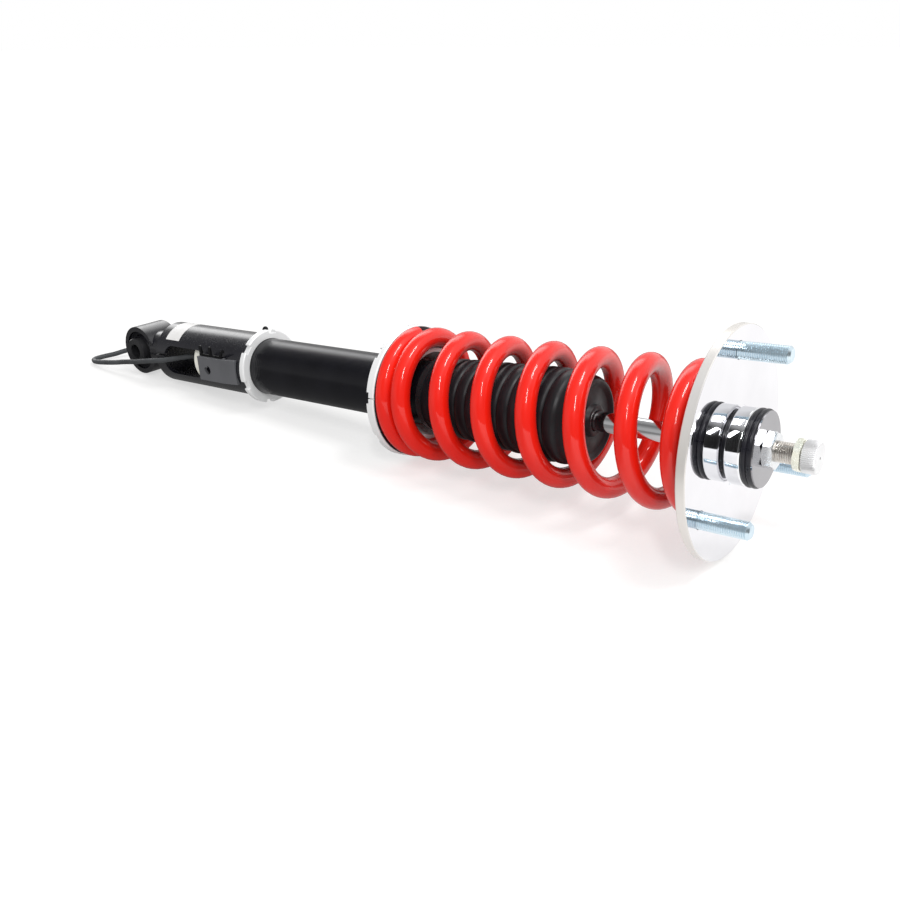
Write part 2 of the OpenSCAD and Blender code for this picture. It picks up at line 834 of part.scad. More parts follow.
module adjuster_knob() {
    flutes = 36;
    flute_r = 0.5;
    knob_r = knob_d / 2;
    bevel = 0.8;
    color("#d4d6d9")
        difference() {
            revolve_x([[knob_x, metering_d / 2], [knob_x, knob_r - bevel], [knob_x + bevel, knob_r],
                [knob_x + knob_l - bevel, knob_r], [knob_x + knob_l, knob_r - bevel],
                [knob_x + knob_l, 0], [knob_x + knob_l * 0.6, 0],
                [knob_x + knob_l * 0.6, metering_d / 2]]);
            for (k = [0 : flutes - 1])
                rotate([360 * k / flutes, 0, 0])
                    translate([0, knob_r + flute_r * 0.4, 0])
                        bar_x(knob_x - cut, knob_x + knob_l - bevel, flute_r);
        }
}

// ---------- cable ----------

cable_d = 4.4;
cable_exit_y = 9;
cable_exit_z = 2;
gland_l = 5;
cable_sides = 8;
// Route of the cable's centre: out of one side window, round the eye and back
// into the other, as points chosen by hand
cable_route = [[81, -9, 2], [78.5, -9, 2], [75, -10.8, 2.1], [71, -14.8, 2.2], [66, -19.6, 1.9],
    [59.6, -24.8, 1.2], [51, -28.4, 0.2], [40, -29, -1.2], [26, -28.2, -3.4], [10, -27.4, -6],
    [-5, -28.2, -7.6], [-20, -29, -9.6], [-36, -29, -11.4], [-50, -28.2, -12.7],
    [-58, -26.2, -13.2], [-62.8, -23, -13.2], [-64.2, -18.5, -13.2], [-62.6, -12.5, -12.9],
    [-58.6, -4, -12.4], [-54, 5, -11], [-46, 14.4, -9.8], [-34, 21.4, -9], [-20, 25, -9],
    [-7, 26.8, -9.4], [6, 27.8, -9.3], [18, 28.6, -8], [32, 29, -5.2], [42, 29, -2.4],
    [51, 28.4, -0.2], [59.6, 24.8, 1], [66, 19.6, 1.8], [71, 14.8, 2.2], [75, 10.8, 2.1],
    [78.5, 9, 2], [81, 9, 2]];

module cable() {
    color("#37393c")
        swept_tube(concat([[plug_x - gland_l, -cable_exit_y, cable_exit_z]],
            [for (i = [1 : len(cable_route) - 2]) cable_route[i]],
            [[plug_x - gland_l, cable_exit_y, cable_exit_z]]),
            cable_d / 2, cable_sides, [0, 0, 1]);
}

echo(spring_self_gap_mm = wire_self_gap);

lower_eye();
eye_bush();
eye_sleeve();
bracket_barrel();
hose_bracket();
hose_clip();
line_pin();
lower_lock_ring();
base_plug();
cable();
damper_tube();
gas_piston();
gas_piston_seal();
rod_guide();
rod_seal();
tube_cap();
spring_seat();
spring_pad();
spring();
dust_boot();
boot_clamp();
bump_stop();
piston_rod();
piston();
piston_band();
piston_nut();
rebound_shims();
metering_rod();
lower_washer();
under_bush();
mount_plate();
mount_studs();
upper_seat();
bush_neck();
bush_base();
bush_collar();
bush_ring();
end_washer();
rod_nut();
adjuster_nut();
adjuster_knob();
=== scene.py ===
# Height-adjustable coilover: a threaded damper with its spring, rubber boot,
# three-stud top plate and rubber-bushed lower eye, lying on its side.
# +X runs up the damper from the eye and +Y along the eye's bore. The pieces'
# sizes are in millimetres; camera, lamps, floor shades and relief are in metres.

import math

import bmesh
import bpy
from mathutils import Matrix, Vector


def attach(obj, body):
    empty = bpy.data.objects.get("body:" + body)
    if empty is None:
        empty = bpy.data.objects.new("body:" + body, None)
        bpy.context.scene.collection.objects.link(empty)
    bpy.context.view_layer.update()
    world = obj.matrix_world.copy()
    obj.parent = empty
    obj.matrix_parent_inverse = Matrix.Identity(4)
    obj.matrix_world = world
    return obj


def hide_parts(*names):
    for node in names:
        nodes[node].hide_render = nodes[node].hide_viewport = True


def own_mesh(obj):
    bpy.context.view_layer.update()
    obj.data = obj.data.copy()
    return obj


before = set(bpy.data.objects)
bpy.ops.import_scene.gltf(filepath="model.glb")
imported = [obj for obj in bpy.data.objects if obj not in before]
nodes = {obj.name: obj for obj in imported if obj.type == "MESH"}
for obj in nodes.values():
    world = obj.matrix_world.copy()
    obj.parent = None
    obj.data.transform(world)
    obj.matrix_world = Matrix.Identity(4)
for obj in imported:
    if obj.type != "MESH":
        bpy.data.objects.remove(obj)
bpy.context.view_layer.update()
scene = bpy.context.scene
scene.view_settings.view_transform = "Standard"

# Camera.
# It stands beyond the top plate, a little above it and to the near side, and
# looks down the damper towards the eye.
camera = bpy.data.objects.new("camera", bpy.data.cameras.new("camera"))
scene.collection.objects.link(camera)
camera.matrix_world = Matrix(
    (
        (0.7877, -0.1660, 0.5933, 0.7151),
        (0.6120, 0.3215, -0.7226, -0.4699),
        (-0.0708, 0.9323, 0.3548, 0.1918),
        (0, 0, 0, 1),
    )
)
camera.data.sensor_width = 36
camera.data.lens = 36.98
camera.data.shift_x, camera.data.shift_y = 0.0057, -0.0029
scene.camera = camera

# Cable loop.
# A stiff moulded sensor cable, 4.4 mm thick. It leaves the base plug through
# one window of the barrel, rounds the eye and comes back in through the other.
cable_d = 4.4
cable_route = [
    (81, -9, 2), (78.5, -9, 2), (75, -10.8, 2.1), (71, -14.8, 2.2), (66, -19.6, 1.9),
    (59.6, -24.8, 1.2), (51, -28.4, 0.2), (40, -29, -1.2), (26, -28.2, -3.4),
    (10, -27.4, -6), (-5, -28.2, -7.6), (-20, -29, -9.6), (-36, -29, -11.4),
    (-50, -28.2, -12.7), (-58, -26.2, -13.2), (-62.8, -23, -13.2), (-64.2, -18.5, -13.2),
    (-62.6, -12.5, -12.9), (-58.6, -4, -12.4), (-54, 5, -11), (-46, 14.4, -9.8),
    (-34, 21.4, -9), (-20, 25, -9), (-7, 26.8, -9.4), (6, 27.8, -9.3), (18, 28.6, -8),
    (32, 29, -5.2), (42, 29, -2.4), (51, 28.4, -0.2), (59.6, 24.8, 1), (66, 19.6, 1.8),
    (71, 14.8, 2.2), (75, 10.8, 2.1), (78.5, 9, 2), (81, 9, 2),
]  # fmt: skip


def add(tree, kind, inputs=None, **settings):
    """A shader node with its settings, and its inputs linked or set."""
    made = tree.nodes.new("ShaderNode" + kind)
    for key, value in settings.items():
        setattr(made, key, value)
    for key, value in (inputs or {}).items():
        if isinstance(value, bpy.types.NodeSocket):
            tree.links.new(value, made.inputs[key])
        else:
            made.inputs[key].default_value = value
    return made


def new_finish(name, metal, rough):
    """A material, its node tree and its shader."""
    mat = bpy.data.materials.new(name)
    mat.use_nodes = True
    body = mat.node_tree.nodes["Principled BSDF"]
    body.inputs["Metallic"].default_value = metal
    body.inputs["Roughness"].default_value = rough
    return mat, mat.node_tree, body


def patches(tree, scale, detail=3.0, where=None):
    """Soft noise over the piece, about a half; scale is in patches a metre."""
    where = where or add(tree, "TexCoord").outputs["Object"]
    return add(tree, "TexNoise", {"Vector": where, "Scale": scale, "Detail": detail}).outputs["Fac"]


# The part of a noise's range that finishes are spread over.
noise_low, noise_high = 0.3, 0.7


def graded(tree, value, low, high, start=noise_low, stop=noise_high):
    """Goes from low to high as a value goes from start to stop."""
    ends = {"Value": value, "From Min": start, "From Max": stop, "To Min": low, "To Max": high}
    return add(tree, "MapRange", ends).outputs["Result"]


def tinted(tree, noise, dark, light):
    """Goes from a dark colour to a light one over the range of a noise."""
    ramp = add(tree, "ValToRGB", {"Fac": noise})
    ramp.color_ramp.elements[0].position, ramp.color_ramp.elements[1].position = noise_low, noise_high
    ramp.color_ramp.elements[0].color = (*dark, 1)
    ramp.color_ramp.elements[1].color = (*light, 1)
    return ramp.outputs["Color"]


def dented(tree, body, height, depth, strength):
    """Lets a height show as relief; depth is in metres."""
    relief = add(tree, "Bump", {"Height": height, "Distance": depth, "Strength": strength})
    tree.links.new(relief.outputs["Normal"], body.inputs["Normal"])


def rubber(name, dark, light, rough=0.6, grain=1600, depth=0.00012):
    """Moulded rubber: cloudy tone, dusty patches and a fine grain."""
    mat, tree, body = new_finish(name, 0, rough)
    body.inputs["Specular IOR Level"].default_value = 0.35
    tree.links.new(tinted(tree, patches(tree, 55), dark, light), body.inputs["Base Color"])
    tree.links.new(graded(tree, patches(tree, 120), rough - 0.1, rough + 0.1), body.inputs["Roughness"])
    dented(tree, body, patches(tree, grain, 2), depth, 0.5)
    return mat


curve = bpy.data.curves.new("cable_loop", "CURVE")
curve.dimensions = "3D"
curve.bevel_depth = cable_d / 2000
curve.bevel_resolution = 7
curve.resolution_u = 8
curve.use_fill_caps = True
line = curve.splines.new("BEZIER")
line.bezier_points.add(len(cable_route) - 1)
for point, place in zip(line.bezier_points, cable_route):
    point.co = Vector(place) / 1000
    point.handle_left_type = point.handle_right_type = "AUTO"
cable = bpy.data.objects.new("cable_loop", curve)
scene.collection.objects.link(cable)
curve.materials.append(rubber("cable_jacket", (0.045, 0.048, 0.052), (0.075, 0.08, 0.085), 0.5))
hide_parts("cable")
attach(cable, "damper")

# Lower eye.
# A forged steel eye, welded to a short neck and stove-enamelled black. Its
# threaded plug closes the barrel, and the enamel softens its edges.


def piece(name, bm, mat, body, stands_for=(), smooth=35):
    """Makes a mesh piece with its finish, riding on a body; edges under smooth degrees look round."""
    mesh = bpy.data.meshes.new(name)
    bm.to_mesh(mesh)
    bm.free()
    if "custom_normal" in mesh.attributes:
        mesh.attributes.remove(mesh.attributes["custom_normal"])
    mesh.shade_smooth()
    mesh.set_sharp_from_angle(angle=math.radians(smooth))
    mesh.materials.clear()
    mesh.materials.append(mat)
    made = bpy.data.objects.new(name, mesh)
    scene.collection.objects.link(made)
    if stands_for:
        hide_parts(*stands_for)
    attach(made, body)
    return made


def broken_edges(made, width):
    """Rounds a piece's sharp edges and keeps its flats flat."""
    bevel = made.modifiers.new("edges", "BEVEL")
    bevel.width = width / 1000
    bevel.segments = 3
    bevel.limit_method = "ANGLE"
    bevel.angle_limit = math.radians(40)
    bevel.use_clamp_overlap = True
    flats = made.modifiers.new("flats", "WEIGHTED_NORMAL")
    flats.keep_sharp = False


def copied(name):
    """A merged copy of a node's mesh, with its flat faces whole again."""
    bm = bmesh.new()
    bm.from_mesh(nodes[name].data)
    bmesh.ops.remove_doubles(bm, verts=bm.verts, dist=2e-6)
    bmesh.ops.dissolve_limit(
        bm, angle_limit=math.radians(0.6), verts=bm.verts, edges=bm.edges,
        use_dissolve_boundaries=False, delimit={"NORMAL"},
    )  # fmt: skip
    return bm


def black_enamel(name, dark, light, rough=0.34, coat=0.25, gloss=0.5):
    """Stoved enamel or powder coat: faint cloud, orange peel, a little dust."""
    mat, tree, body = new_finish(name, 0, rough)
    body.inputs["Specular IOR Level"].default_value = gloss
    tree.links.new(tinted(tree, patches(tree, 45), dark, light), body.inputs["Base Color"])
    tree.links.new(graded(tree, patches(tree, 160), rough - 0.04, rough + 0.06), body.inputs["Roughness"])
    body.inputs["Coat Weight"].default_value = coat
    body.inputs["Coat Roughness"].default_value = 0.12
    dented(tree, body, patches(tree, 500, 1), 0.00002, 0.3)
    return mat


enamel = black_enamel("black_enamel", (0.006, 0.006, 0.009), (0.01, 0.01, 0.014), 0.24, 0.5)
eye = piece("eye_housing", copied("lower_eye"), enamel, "barrel", ["lower_eye"])
broken_edges(eye, 0.7)

# Rubber and sleeve of the eye.
# A bonded rubber bush with a moulded dish at each face, round a plain steel
# sleeve for an M12 bolt.


def turned(outline, steps=96, axis="X"):
    """Spins a closed outline of (along, radius) points about the X or Y axis."""
    bm = bmesh.new()
    spots = [
        bm.verts.new((a / 1000, 0, r / 1000) if axis == "X" else (0, a / 1000, r / 1000))
        for a, r in outline
    ]
    edges = [bm.edges.new((p, q)) for p, q in zip(spots, spots[1:] + spots[:1]) if p != q]
    bmesh.ops.spin(
        bm, geom=spots + edges, cent=(0, 0, 0), axis=(1, 0, 0) if axis == "X" else (0, 1, 0),
        angle=2 * math.pi, steps=steps, use_merge=True,
    )  # fmt: skip
    bmesh.ops.remove_doubles(bm, verts=bm.verts, dist=1e-6)
    bmesh.ops.recalc_face_normals(bm, faces=bm.faces)
    return bm


black_rubber = rubber("black_rubber", (0.009, 0.009, 0.013), (0.018, 0.018, 0.024), 0.34, 1600, 0.00004)
dish = [(-12, 11.5), (-11.2, 12.1), (-9.6, 12.9), (-9.2, 14), (-9.6, 15.2), (-11, 16.1), (-11.9, 16.8)]
piece(
    "eye_rubber", turned(dish + [(-a, r) for a, r in reversed(dish)], axis="Y"),
    black_rubber, "barrel", ["eye_bush"], 50,
)  # fmt: skip
sleeve_outline = [
    (-19, 6.6), (-18.6, 6.2), (18.6, 6.2), (19, 6.6), (19, 10.6), (18.2, 11.4), (-18.2, 11.4), (-19, 10.6),
]  # fmt: skip
dark_steel = black_enamel("phosphated_steel", (0.012, 0.012, 0.014), (0.026, 0.026, 0.028), 0.3, 0.0)
piece("eye_tube", turned(sleeve_outline, axis="Y"), dark_steel, "sleeve", ["eye_sleeve"])

# Bracket barrel.
# A steel tube screwed over the damper's lower end, with two cable windows and
# a locking slit, coated satin black.
satin_black = black_enamel("satin_black", (0.007, 0.007, 0.011), (0.012, 0.012, 0.017), 0.24, 0.5)
barrel = piece("barrel_tube", copied("bracket_barrel"), satin_black, "barrel", ["bracket_barrel"])
broken_edges(barrel, 0.35)

# Blank label on the barrel.
# A white vinyl sticker with nothing printed on it, a tenth of a millimetre
# thick, wrapped over the top of the barrel.
label_r, label_ends, label_from, label_wrap, label_t = 25.32, (49.5, 67), 78, 62, 0.1
label_mat, tree, body = new_finish("white_vinyl", 0, 0.38)
tree.links.new(tinted(tree, patches(tree, 90), (0.8, 0.79, 0.78), (0.88, 0.875, 0.87)), body.inputs["Base Color"])
dented(tree, body, patches(tree, 260, 2), 0.0001, 0.3)
bm = bmesh.new()
side_y = label_r / 1000 * math.cos(math.radians(label_from))
side_z = label_r / 1000 * math.sin(math.radians(label_from))
ends = [bm.verts.new((x / 1000, side_y, side_z)) for x in label_ends]
bmesh.ops.spin(
    bm, geom=ends + [bm.edges.new(ends)], cent=(0, 0, 0), axis=(1, 0, 0),
    angle=math.radians(label_wrap), steps=28,
)  # fmt: skip
bmesh.ops.solidify(bm, geom=bm.faces[:], thickness=label_t / 1000)
bmesh.ops.recalc_face_normals(bm, faces=bm.faces)
piece("blank_label", bm, label_mat, "barrel")

# Hose bracket, clip and pin.
# A pressed steel bracket welded to the barrel, with its spring clip, and a
# round-ended pin on the barrel's far side.
bend_x, bend_y, bend_r, bend_near = 131, -28.6, 4, 0.3
grey_steel = black_enamel("grey_coat", (0.1, 0.102, 0.11), (0.125, 0.127, 0.137), 0.34, 0.0)
bm = copied("hose_bracket")


def at_bend(vert):
    """Whether a corner lies on the bracket's outer bend."""
    return abs(vert.co.x * 1000 - bend_x) < bend_near and abs(vert.co.y * 1000 - bend_y) < bend_near


bmesh.ops.bevel(
    bm, geom=[e for e in bm.edges if all(at_bend(v) for v in e.verts)], offset=bend_r / 1000,
    segments=6, profile=0.5, affect="EDGES", material=-1, clamp_overlap=True,
)  # fmt: skip
bracket = piece("pressed_bracket", bm, grey_steel, "barrel", ["hose_bracket"])
broken_edges(bracket, 0.5)
clip_black = black_enamel("clip_black", (0.003, 0.003, 0.004), (0.006, 0.006, 0.007), 0.3, 0.0, 0.25)
clip = piece("spring_clip", copied("hose_clip"), clip_black, "barrel", ["hose_clip"])
broken_edges(clip, 0.25)
nodes["line_pin"].material_slots[0].material = clip_black

# Base plug.
# A pale nylon plug in the damper's foot, with a gland for each end of the
# cable. Only its edge shows through the windows.
nylon, tree, body = new_finish("pale_nylon", 0, 0.42)
tree.links.new(tinted(tree, patches(tree, 80), (0.78, 0.77, 0.68), (0.88, 0.87, 0.8)), body.inputs["Base Color"])
body.inputs["Subsurface Weight"].default_value = 0.08
body.inputs["Subsurface Radius"].default_value = (0.002, 0.0018, 0.0014)
dented(tree, body, patches(tree, 1200, 2), 0.00008, 0.3)
nodes["base_plug"].material_slots[0].material = nylon

# Lower lock ring.
# Turned aluminium, clear anodised, with notches for a hook spanner. It locks
# the barrel on the damper's thread.


def along_and_out(tree):
    """Coordinates that follow a lathe: along the axis, and out from it."""
    at = add(tree, "TexCoord").outputs["Object"]
    across = add(tree, "VectorMath", {0: at, 1: (0, 1, 1)}, operation="MULTIPLY").outputs[0]
    out = add(tree, "VectorMath", {0: across}, operation="LENGTH").outputs["Value"]
    along = add(tree, "SeparateXYZ", {0: at}).outputs["X"]
    return add(tree, "CombineXYZ", {"X": along, "Y": out}).outputs[0]


def lathe_turned(name, dark, light, rough, lines=2600, depth=0.00003, metal=1.0, stretch=0.3):
    """Turned metal: fine tool lines round the axis, stretched glints and a slow change of tone."""
    mat, tree, body = new_finish(name, metal, rough)
    tool = patches(tree, lines, 2, along_and_out(tree))
    tree.links.new(tinted(tree, patches(tree, 35), dark, light), body.inputs["Base Color"])
    tree.links.new(graded(tree, tool, rough - 0.06, rough + 0.08), body.inputs["Roughness"])
    body.inputs["Anisotropic"].default_value = stretch
    tree.links.new(add(tree, "Tangent", direction_type="RADIAL", axis="X").outputs[0], body.inputs["Tangent"])
    dented(tree, body, tool, depth, 0.5)
    return mat


silver = lathe_turned("clear_anodised", (0.91, 0.915, 0.92), (0.95, 0.953, 0.956), 0.36, metal=0.2)
ring = piece("lock_ring", copied("lower_lock_ring"), silver, "lock_ring", ["lower_lock_ring"])
broken_edges(ring, 0.35)

# Damper tube.
# A black-coated steel tube with a fine thread over nearly its whole length,
# bored for the pistons and chamfered at both ends.
tube_r, tube_start, tube_end, tube_pitch, thread_depth = 22.25, 93, 333, 2, 0.08
chamfer, chamfer_share, bore_share = 2, 0.93, 0.935


def wind_thread(x0, x1, crest, root, pitch, steps=64):
    """A right-hand thread from x0 to x1: one pitch of its outline, wound up the axis."""
    bm = bmesh.new()
    shape = ((0, root), (0.1, root), (0.4, crest), (0.7, crest), (1, root))
    spots = [bm.verts.new(((x0 - pitch * (2 - u)) / 1000, 0, r / 1000)) for u, r in shape]
    edges = [bm.edges.new(pair) for pair in zip(spots, spots[1:])]
    bmesh.ops.spin(
        bm, geom=spots + edges, cent=(0, 0, 0), axis=(1, 0, 0), angle=2 * math.pi,
        steps=steps, dvec=(pitch / steps / 1000, 0, 0),
    )  # fmt: skip
    turn = bm.verts[:] + bm.edges[:] + bm.faces[:]
    for i in range(math.ceil((x1 - x0) / pitch) + 2):
        twin = bmesh.ops.duplicate(bm, geom=turn)["geom"]
        verts = [g for g in twin if isinstance(g, bmesh.types.BMVert)]
        bmesh.ops.translate(bm, verts=verts, vec=(pitch * (i + 1) / 1000, 0, 0))
    bmesh.ops.remove_doubles(bm, verts=bm.verts, dist=pitch / 50000)
    for x, side in ((x0, -1), (x1, 1)):
        bmesh.ops.bisect_plane(
            bm, geom=bm.verts[:] + bm.edges[:] + bm.faces[:], dist=1e-7,
            plane_co=(x / 1000, 0, 0), plane_no=(side, 0, 0), clear_outer=True,
        )  # fmt: skip
    return bm


def end_loop(bm, x):
    """The open edges that lie in the plane at x."""
    return [
        e for e in bm.edges
        if e.is_boundary and all(abs(v.co.x - x / 1000) < 2e-5 for v in e.verts)
    ]  # fmt: skip


def step_in(bm, edges, x, share):
    """Carries an open rim to the plane at x, drawn in to a share of its radius."""
    new = bmesh.ops.extrude_edge_only(bm, edges=edges)["geom"]
    verts = [g for g in new if isinstance(g, bmesh.types.BMVert)]
    bmesh.ops.scale(bm, verts=verts, vec=(1, share, share))
    bmesh.ops.translate(bm, verts=verts, vec=(x / 1000 - verts[0].co.x, 0, 0))
    return [g for g in new if isinstance(g, bmesh.types.BMEdge) and all(v in verts for v in g.verts)]


bm = wind_thread(tube_start + chamfer, tube_end - chamfer, tube_r, tube_r - thread_depth, tube_pitch)
rims = []
for x, edge in ((tube_start + chamfer, tube_start), (tube_end - chamfer, tube_end)):
    rim = step_in(bm, end_loop(bm, x), edge, chamfer_share)
    rims += step_in(bm, rim, edge, bore_share)
bmesh.ops.bridge_loops(bm, edges=rims)
bmesh.ops.recalc_face_normals(bm, faces=bm.faces)
tube_black = black_enamel("tube_black", (0.003, 0.003, 0.005), (0.006, 0.006, 0.009), 0.2, 0.1, 0.3)
piece("threaded_tube", bm, tube_black, "damper", ["damper_tube"], 60)

# Spring seat and its pad.
# A wide turned aluminium seat that screws along the tube, with hook-spanner
# notches, and a thin plastic pad under the spring.
seat = piece("seat_collar", copied("spring_seat"), silver, "seat", ["spring_seat"])
broken_edges(seat, 0.35)
pad_foot, pad_top = 307.92, 308.68
pad_outline = [(pad_foot, 31.7), (pad_foot, 44.6), ((pad_foot + pad_top) / 2, 45), (pad_top, 44.6), (pad_top, 31.7)]
piece("seat_pad", turned(pad_outline, 128), black_rubber, "seat_pad", ["spring_pad"])

# Coil spring.
# Cold-wound spring wire with closed, ground ends, powder coated in gloss red.
wire_r, coil_r, spring_foot, spring_top = 6.5, 39, 308.7, 524.4
tip_angle, spring_turns, closed_pitch, lower_closed, upper_closed = 85, 7.93, 13.5, 1.26, 0.97
lower_tip, upper_tip, ease, steps_a_turn = 0.4, 2.4, 30, 60
open_turns = spring_turns - lower_closed - upper_closed
open_rise = spring_top - spring_foot - lower_tip + upper_tip - closed_pitch * (lower_closed + upper_closed)
open_pitch = open_rise / open_turns


def eased(t):
    """max(0, t), rounded off near 0."""
    return 0 if t <= -ease else t if t >= ease else (t + ease) ** 2 / (4 * ease)


def wire_x(a):
    """Where the wire's centre lies along the axis after a degrees of winding."""
    opened = eased(a - 360 * lower_closed) - eased(a - 360 * (spring_turns - upper_closed))
    return spring_foot + lower_tip + closed_pitch * a / 360 + (open_pitch - closed_pitch) / 360 * opened


bm = bmesh.new()
bmesh.ops.create_circle(
    bm, segments=28, radius=wire_r / 1000,
    matrix=Matrix.Rotation(math.radians(tip_angle), 4, "X")
    @ Matrix.Translation((wire_x(0) / 1000, coil_r / 1000, 0)),
)  # fmt: skip
last = bm.verts[:] + bm.edges[:]
bmesh.ops.contextual_create(bm, geom=bm.edges[:])
count = round(spring_turns * steps_a_turn)
for i in range(count):
    rise = wire_x(360 * spring_turns * (i + 1) / count) - wire_x(360 * spring_turns * i / count)
    last = bmesh.ops.spin(
        bm, geom=last, cent=(0, 0, 0), axis=(1, 0, 0), dvec=(rise / 1000, 0, 0),
        angle=2 * math.pi * spring_turns / count, steps=1,
    )["geom_last"]  # fmt: skip
bmesh.ops.contextual_create(bm, geom=[g for g in last if isinstance(g, bmesh.types.BMEdge)])
for x, side in ((spring_foot, -1), (spring_top, 1)):
    cutting = bmesh.ops.bisect_plane(
        bm, geom=bm.verts[:] + bm.edges[:] + bm.faces[:], dist=1e-7,
        plane_co=(x / 1000, 0, 0), plane_no=(side, 0, 0), clear_outer=True,
    )  # fmt: skip
    bmesh.ops.holes_fill(bm, edges=[g for g in cutting["geom_cut"] if isinstance(g, bmesh.types.BMEdge)])
bmesh.ops.recalc_face_normals(bm, faces=bm.faces)
red_coat, tree, body = new_finish("red_powder_coat", 0, 0.4)
tree.links.new(tinted(tree, patches(tree, 30), (0.79, 0.009, 0.003), (0.87, 0.015, 0.005)), body.inputs["Base Color"])
tree.links.new(graded(tree, patches(tree, 110), 0.34, 0.46), body.inputs["Roughness"])
body.inputs["Specular IOR Level"].default_value = 0.2
body.inputs["Coat Weight"].default_value = 0.7
body.inputs["Coat Roughness"].default_value = 0.05
dented(tree, body, patches(tree, 260, 1), 0.00004, 0.2)
coil = piece("coil_spring", bm, red_coat, "damper", ["spring"], 50)
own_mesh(coil)

# Dust boot.
# A moulded rubber boot with fine ribs that swells towards a rounded shoulder;
# its end face is dished round a raised lip on the rod.
boot_foot, boot_start, boot_end, boot_ribs = 326, 343, 449, 11
boot_shoulder = boot_end - 12
rib_pitch = (boot_shoulder - boot_start) / boot_ribs


def rib_r(u):
    """Outside radius at rib position u, with rounded ribs and narrow grooves."""
    return 26.5 + 3.5 * min(1, 1.2 * u / boot_ribs) - 1.5 * (1 - abs(math.sin(math.pi * u)) ** 0.5)


def rounded(x, r, along, out, angles):
    """Points of a rounded corner about (x, r), turning from its foot at 0 to its top at 180 degrees."""
    turns = [math.radians(a) for a in angles]
    return [(x - along * math.cos(a), r + out * math.sin(a)) for a in turns]


shoulder_r = rib_r(boot_ribs)
outline = [(boot_foot, 22.35), (boot_foot, 23.8), (boot_foot + 0.4, 24)]
outline += [(333.2, 24), (334.6, 24.3), (338, 24.9), (342.2, 25)]
outline += [(boot_start + rib_pitch * i / 10, rib_r(i / 10)) for i in range(boot_ribs * 10 + 1)]
outline += rounded(boot_shoulder, 24.4, boot_end - boot_shoulder, shoulder_r - 24.4, range(99, 181, 9))
outline += [(boot_end, 23.4), (448.4, 22.6), (447.1, 21.4), (446.8, 20.4), (446.8, 10.9), (447.3, 10.2), (450.2, 9.9)]
outline += [(450.6, 9.5), (450.6, 6.9), (450.3, 6.5), (443.2, 6.5), (443.2, 22), (boot_shoulder, shoulder_r - 1.6)]
outline += [(boot_start, 23.4), (334, 22.35)]
boot_black = rubber("boot_rubber", (0.006, 0.006, 0.008), (0.013, 0.013, 0.016), 0.44, 1300, 0.00004)
piece("rubber_boot", turned(outline, 128), boot_black, "damper", ["dust_boot"], 50)
nodes["boot_clamp"].material_slots[0].material = dark_steel

# Piston rod.
# Ground and hard-chromed bar, hollow for the metering rod. Its upper end is
# turned down and carries a fine rolled thread, left bare.
rod_foot, rod_pin, thread_foot, rod_top = 273, 520.7, 556, 574.9
chrome, tree, body = new_finish("hard_chrome", 1, 0.06)
tree.links.new(tinted(tree, patches(tree, 40), (0.8, 0.81, 0.83), (0.87, 0.88, 0.89)), body.inputs["Base Color"])
tree.links.new(graded(tree, patches(tree, 1800, 2, along_and_out(tree)), 0.03, 0.09), body.inputs["Roughness"])
bar = [
    (rod_foot, 2.05), (rod_foot, 4.6), (rod_foot + 0.4, 5), (302, 5), (302, 6), (302.2, 6.2), (rod_pin - 0.2, 6.2),
    (rod_pin, 6), (rod_pin, 5.9), (thread_foot, 5.9), (thread_foot, 2.05),
]  # fmt: skip
piece("chromed_rod", turned(bar, 64), chrome, "rod", ["piston_rod"])
bare_steel, tree, body = new_finish("bare_steel", 1, 0.34)
tree.links.new(tinted(tree, patches(tree, 320), (0.54, 0.51, 0.48), (0.74, 0.71, 0.67)), body.inputs["Base Color"])
tree.links.new(graded(tree, patches(tree, 700), 0.26, 0.42), body.inputs["Roughness"])
fine_pitch, rod_thread_top = 1.25, rod_top - 1
bm = wind_thread(thread_foot, rod_thread_top, 5.9, 5.3, fine_pitch, 48)
bmesh.ops.holes_fill(bm, edges=step_in(bm, end_loop(bm, rod_thread_top), rod_top, 0.84))
bmesh.ops.holes_fill(bm, edges=step_in(bm, end_loop(bm, thread_foot), thread_foot, 0.98))
bmesh.ops.recalc_face_normals(bm, faces=bm.faces)
piece("rod_thread", bm, bare_steel, "rod", ["piston_rod"], 30)

# Top plate.
# A turned aluminium disc, polished to a mirror on its face and left a little
# duller round its rim, with a shallow seat for the bush.
plate_face, plate_t, face_edge_r = 537.7, 5.5, 66.5
mirror, tree, body = new_finish("polished_face", 1, 0.04)
out = add(tree, "SeparateXYZ", {0: along_and_out(tree)}).outputs["Y"]
rim = graded(tree, out, 0, 1, (face_edge_r - 0.1) / 1000, (face_edge_r + 0.1) / 1000)
face = tinted(tree, patches(tree, 30), (0.77, 0.765, 0.79), (0.82, 0.815, 0.84))
# The rim's rougher finish is real; its warm cream tint, shown by a lower metallic, is painted reflection.
side = tinted(tree, patches(tree, 18), (0.74, 0.71, 0.67), (0.84, 0.82, 0.8))
both = add(tree, "Mix", {"Factor": rim, "A": face, "B": side}, data_type="RGBA")
tree.links.new(both.outputs["Result"], body.inputs["Base Color"])
tree.links.new(graded(tree, rim, 0.03, 0.3, 0, 1), body.inputs["Roughness"])
tree.links.new(graded(tree, rim, 1, 0.45, 0, 1), body.inputs["Metallic"])
nodes["mount_plate"].material_slots[0].material = mirror

